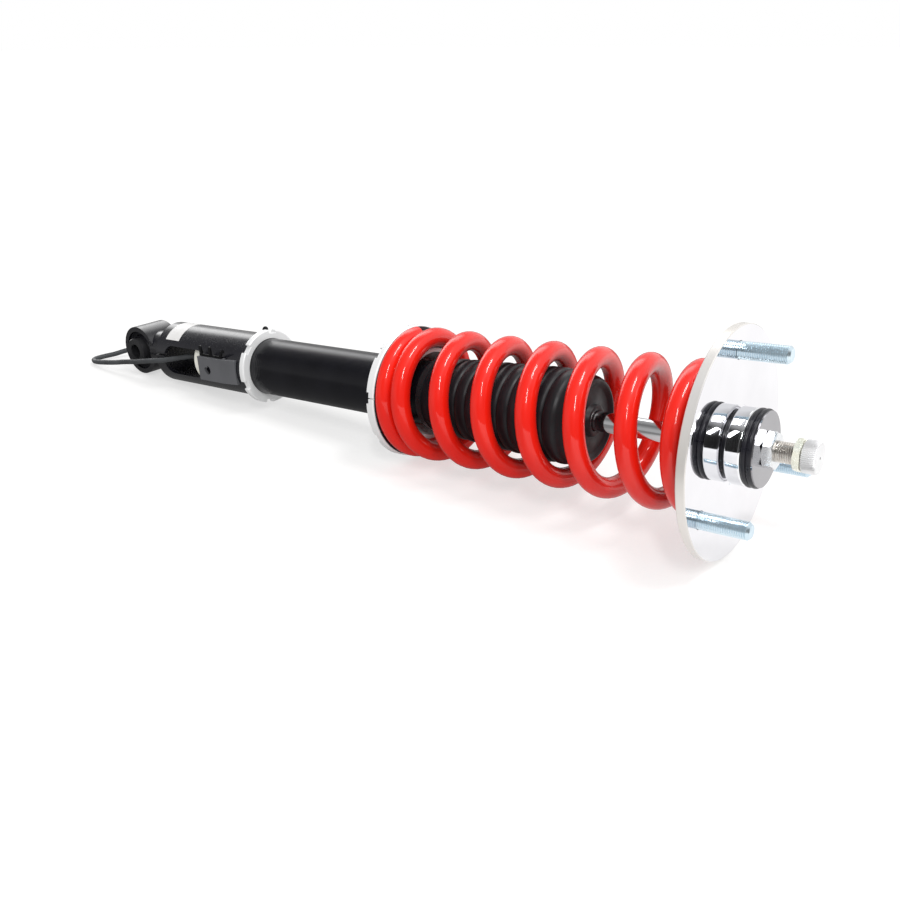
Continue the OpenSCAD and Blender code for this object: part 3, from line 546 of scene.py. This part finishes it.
# Studs.
# M10 steel studs with a rolled thread, zinc plated with a blue passivate. They
# are pressed into the plate from below, where their flat heads stay.
stud_ring_r, stud_r, stud_root_r = 54, 5, 4.5
stud_low, stud_high, stud_tip = plate_face - plate_t, plate_face + 26.6, plate_face + 28
head_low, head_foot, head_share = plate_face - 7.6, plate_face - 8.1, 1.45
blue_zinc, tree, body = new_finish("blue_zinc", 0.85, 0.26)
tree.links.new(tinted(tree, patches(tree, 60), (0.58, 0.71, 0.8), (0.68, 0.8, 0.87)), body.inputs["Base Color"])
tree.links.new(graded(tree, patches(tree, 200), 0.22, 0.3), body.inputs["Roughness"])
for k in range(3):
    bm = wind_thread(stud_low, stud_high, stud_r, stud_root_r, fine_pitch, 48)
    bmesh.ops.holes_fill(bm, edges=step_in(bm, end_loop(bm, stud_high), stud_tip, 0.76))
    head = step_in(bm, end_loop(bm, stud_low), stud_low, head_share)
    head = step_in(bm, head, head_low, 1)
    head = step_in(bm, head, head_foot, 0.93)
    bmesh.ops.holes_fill(bm, edges=head)
    bmesh.ops.translate(bm, verts=bm.verts, vec=(0, 0, stud_ring_r / 1000))
    bmesh.ops.rotate(bm, verts=bm.verts, cent=(0, 0, 0), matrix=Matrix.Rotation(math.radians(120 * k), 3, "X"))
    bmesh.ops.recalc_face_normals(bm, faces=bm.faces)
    piece(f"zinc_stud_{k + 1}", bm, blue_zinc, "plate", ["mount_studs"], 28)

# Upper spring seat and the parts under the plate.
# A black-coated pressed seat that holds the spring's upper end, and the lower
# half of the bush, moulded in rubber.
for name, mat in (("upper_seat", enamel), ("under_bush", black_rubber), ("bush_neck", black_rubber)):
    nodes[name].material_slots[0].material = mat

# Bush stack.
# Rubber base ring, chromed collar, beaded rubber ring and a plain washer, all
# stacked on the rod's upper end.
pin_r, base_low, base_high, collar_high, beads_high = 5.9, 537.4, 538.7, 548.2, 554.2
base = [(base_low, pin_r), (base_low, 19.2), (base_low + 0.2, 19.4)]
base += [(base_high - 0.2, 19.4), (base_high, 19.2), (base_high, pin_r)]
piece("stack_base", turned(base), black_rubber, "rod", ["bush_base"])
collar = [(base_high, pin_r)] + rounded(base_high + 1.6, 19.6, 1.6, 2.4, range(0, 91, 9))
collar += rounded(collar_high - 1.2, 20.8, 1.2, 1.2, range(90, 181, 15)) + [(collar_high, pin_r)]
piece("chrome_collar", turned(collar, 144), chrome, "rod", ["bush_collar"], 40)
beads = [(collar_high, pin_r), (collar_high, 20.9)]
for middle in (collar_high + 1.5, beads_high - 1.5):
    beads += rounded(middle, 21.1, 1.5, 1.2, range(15, 166, 15))
beads += [(beads_high, 20.9), (beads_high, pin_r)]
piece("beaded_ring", turned(beads, 128), black_rubber, "rod", ["bush_ring"], 60)
grey_washer = lathe_turned("grey_washer", (0.3, 0.295, 0.31), (0.35, 0.345, 0.36), 0.12, 1400, 0.000003, stretch=0.0)
nodes["end_washer"].material_slots[0].material = grey_washer

# Nuts.
# A bright zinc-plated M12 nut clamps the stack; a thin yellow-passivated nut
# locks the adjuster.
bright_zinc, tree, body = new_finish("bright_zinc", 0.9, 0.2)
tree.links.new(tinted(tree, patches(tree, 150), (0.7, 0.72, 0.74), (0.85, 0.86, 0.87)), body.inputs["Base Color"])
tree.links.new(graded(tree, patches(tree, 420), 0.16, 0.32), body.inputs["Roughness"])
yellow_zinc, tree, body = new_finish("yellow_zinc", 0.55, 0.32)
tree.links.new(tinted(tree, patches(tree, 260), (0.88, 0.875, 0.74), (0.93, 0.925, 0.82)), body.inputs["Base Color"])
tree.links.new(graded(tree, patches(tree, 420), 0.2, 0.38), body.inputs["Roughness"])
for name, mat in (("rod_nut", bright_zinc), ("adjuster_nut", yellow_zinc)):
    nut = piece(name + "_forged", copied(name), mat, "rod", [name])
    broken_edges(nut, 0.25)

# Adjuster knob.
# Turned aluminium with a fine straight knurl; a dark disc at its centre is painted
# shade for a tiny centre dimple. It turns the metering rod inside the piston rod.
knob_bright = lathe_turned("knob_bright", (0.82, 0.82, 0.828), (0.88, 0.88, 0.885), 0.36, 1600, 0.000005, 0.6)
knob_back, knob_front, knob_r, back_share, knurls, knurl_share = 575.2, 583.2, 9.2, 0.93, 54, 0.95
bm = bmesh.new()
bmesh.ops.create_circle(
    bm, segments=2 * knurls, radius=knob_r * back_share / 1000,
    matrix=Matrix.Translation((knob_back / 1000, 0, 0)) @ Matrix.Rotation(math.radians(90), 4, "Y"),
)  # fmt: skip
for vert in list(bm.verts)[::2]:
    vert.co.y, vert.co.z = vert.co.y * knurl_share, vert.co.z * knurl_share
back_rim = rim = bm.edges[:]
front_steps = ((knob_front - 0.9, 1), (knob_front - 0.25, 0.965), (knob_front, 0.95))
for x, share in ((knob_back + 0.6, 1 / back_share), *front_steps):
    rim = step_in(bm, rim, x, share)
bmesh.ops.holes_fill(bm, edges=back_rim)
bmesh.ops.holes_fill(bm, edges=rim)
bmesh.ops.recalc_face_normals(bm, faces=bm.faces)
piece("knurled_knob", bm, knob_bright, "adjuster", ["adjuster_knob"], 20)
# A thin dark disc on the face, painted shade in place of the dimple's hollow.
dimple_low, dimple_high = knob_front - 0.02, knob_front + 0.03
dimple = [(dimple_low, 0), (dimple_high, 0), (dimple_high, 0.7), (dimple_low, 0.75)]
piece("painted_dimple_shade", turned(dimple, 24), dark_steel, "adjuster")

# Inner parts.
# Pistons, guide, seals, shims and nuts inside the tube, bare or as machined.
# None of them shows while the damper is whole.
machined = lathe_turned("machined_aluminium", (0.5, 0.51, 0.53), (0.62, 0.63, 0.65), 0.36)
steel = lathe_turned("plain_steel", (0.5, 0.51, 0.52), (0.64, 0.65, 0.66), 0.34)
brass = lathe_turned("brass_bar", (0.68, 0.48, 0.2), (0.78, 0.58, 0.28), 0.3)
band = rubber("piston_band_resin", (0.16, 0.11, 0.07), (0.24, 0.17, 0.11), 0.5)
foam = rubber("bump_stop_foam", (0.55, 0.38, 0.08), (0.72, 0.52, 0.14), 0.8, 700, 0.0004)
seal = rubber("seal_rubber", (0.06, 0.03, 0.025), (0.1, 0.05, 0.04), 0.5)
for name, mat in {
    "gas_piston": machined, "rod_guide": machined, "piston": machined, "piston_nut": steel,
    "rebound_shims": steel, "lower_washer": steel, "metering_rod": brass, "piston_band": band,
    "bump_stop": foam, "rod_seal": seal, "gas_piston_seal": seal, "tube_cap": dark_steel,
}.items():  # fmt: skip
    nodes[name].material_slots[0].material = mat

# Floor.
# A plain white sheet that slopes as the part leans on its plate and eye, so
# that the part lies on it. It is white where it shows, and keeps the shadow.
floor_slope, floor_drop, floor_half = 0.084, 67.2, 30000
floor_mat = bpy.data.materials.new("white_sheet")
floor_mat.use_nodes = True
floor_mat.cycles.emission_sampling = "NONE"
tree = floor_mat.node_tree
tree.nodes.clear()


def shown(tree):
    """1 for the rays that see a surface plainly, in a mirror or through glass, else 0."""
    rays = add(tree, "LightPath").outputs
    mirrored = add(tree, "Math", {0: rays["Is Camera Ray"], 1: rays["Is Glossy Ray"]}, operation="MAXIMUM").outputs[0]
    return add(tree, "Math", {0: mirrored, 1: rays["Is Transmission Ray"]}, operation="MAXIMUM").outputs[0]


at = add(tree, "TexCoord").outputs["Object"]
away = add(tree, "VectorMath", {0: at, 1: (0.35, 0, 0)}, operation="DISTANCE").outputs["Value"]
glow = graded(tree, shown(tree), 0.3, graded(tree, away, 0.6, 1, 0.4, 1.6), 0, 1)
shine = add(tree, "Emission", {"Color": (1, 1, 1, 1), "Strength": glow}).outputs[0]
matt = add(tree, "BsdfDiffuse", {"Color": (0.46, 0.455, 0.45, 1)}).outputs[0]
both = add(tree, "AddShader", {0: matt, 1: shine}).outputs[0]
# Gloss sees the sheet darker under the damper, where the part shades it.
lengthwise = add(tree, "SeparateXYZ", {0: at}).outputs["X"]
glossy = add(tree, "LightPath").outputs["Is Glossy Ray"]
under = graded(tree, glossy, 1, graded(tree, lengthwise, 0.2, 1, 0.41, 0.52), 0, 1)
both = add(tree, "MixShader", {0: under, 2: both}).outputs[0]
tree.links.new(both, add(tree, "OutputMaterial").inputs["Surface"])
bm = bmesh.new()
bmesh.ops.create_grid(bm, x_segments=1, y_segments=1, size=floor_half / 1000)
bmesh.ops.rotate(bm, verts=bm.verts, cent=(0, 0, 0), matrix=Matrix.Rotation(math.atan(floor_slope), 3, "Y"))
bmesh.ops.translate(bm, verts=bm.verts, vec=(plate_face / 1000, 0, -floor_drop / 1000))
mesh = bpy.data.meshes.new("floor")
bm.to_mesh(mesh)
bm.free()
mesh.materials.append(floor_mat)
floor = bpy.data.objects.new("floor", mesh)
scene.collection.objects.link(floor)

# Light.
# A white room that gloss sees dark on the near side and bright in a long strip
# behind, with a soft lamp overhead and a small one at the near side.
world = bpy.data.worlds.new("room")
scene.world = world
world.use_nodes = True
tree = world.node_tree
tree.nodes.clear()
toward = add(tree, "TexCoord").outputs["Generated"]


def in_direction(way, first, last, before, after):
    """A level that goes from before to after as a direction turns towards way."""
    turned_to = add(tree, "VectorMath", {0: toward, 1: way}, operation="DOT_PRODUCT").outputs["Value"]
    return graded(tree, turned_to, before, after, first, last)


def times(one, other):
    """One level multiplied by another."""
    return add(tree, "Math", {0: one, 1: other}, operation="MULTIPLY").outputs[0]


near_side = in_direction((0.63, -0.71, 0.3), 0.5, 0.82, 1, 0.04)
foot_side = in_direction((-0.5, -0.85, 0.15), 0.2, 0.7, 1, 0.42)
ceiling = in_direction((-0.6, 0.2, 0.77), 0.4, 0.8, 1, 0.4)
across = (0, -0.75, 0.66)
strip = times(in_direction(across, -0.26, -0.08, 0, 2.7), in_direction(across, 0.08, 0.26, 1, 0))
strip = times(strip, times(in_direction((1, 0, 0), -0.2, 0.1, 1, 0), in_direction((0, 1, 0), 0, 0.15, 0, 1)))
walls = add(tree, "Math", {0: times(times(near_side, foot_side), ceiling), 1: strip}).outputs[0]
glossy = add(tree, "LightPath").outputs["Is Glossy Ray"]
level = graded(tree, shown(tree), 0.7, graded(tree, glossy, 1, walls, 0, 1), 0, 1)
air = add(tree, "Background", {"Color": (1, 1, 1, 1), "Strength": level}).outputs[0]
tree.links.new(air, add(tree, "OutputWorld").inputs["Surface"])
# The room isn't sampled as a lamp, because gloss and matt faces see it differently.
world.cycles.sampling_method = "NONE"
lamp_aim = Vector((0.42, 0, 0))
for name, place, size, watts in (
    ("overhead", (0.97, 0.05, 1.18), (0.52, 0.22), 7.0),
    ("near_strip", (1.0, -0.75, 0.89), (0.11, 0.46), 4.8),
):
    lamp = bpy.data.lights.new(name, "AREA")
    lamp.shape = "RECTANGLE"
    lamp.size, lamp.size_y = size
    lamp.energy = watts
    hung = bpy.data.objects.new(name, lamp)
    scene.collection.objects.link(hung)
    hung.location = place
    hung.rotation_mode = "QUATERNION"
    hung.rotation_quaternion = (lamp_aim - Vector(place)).to_track_quat("-Z", "Y")
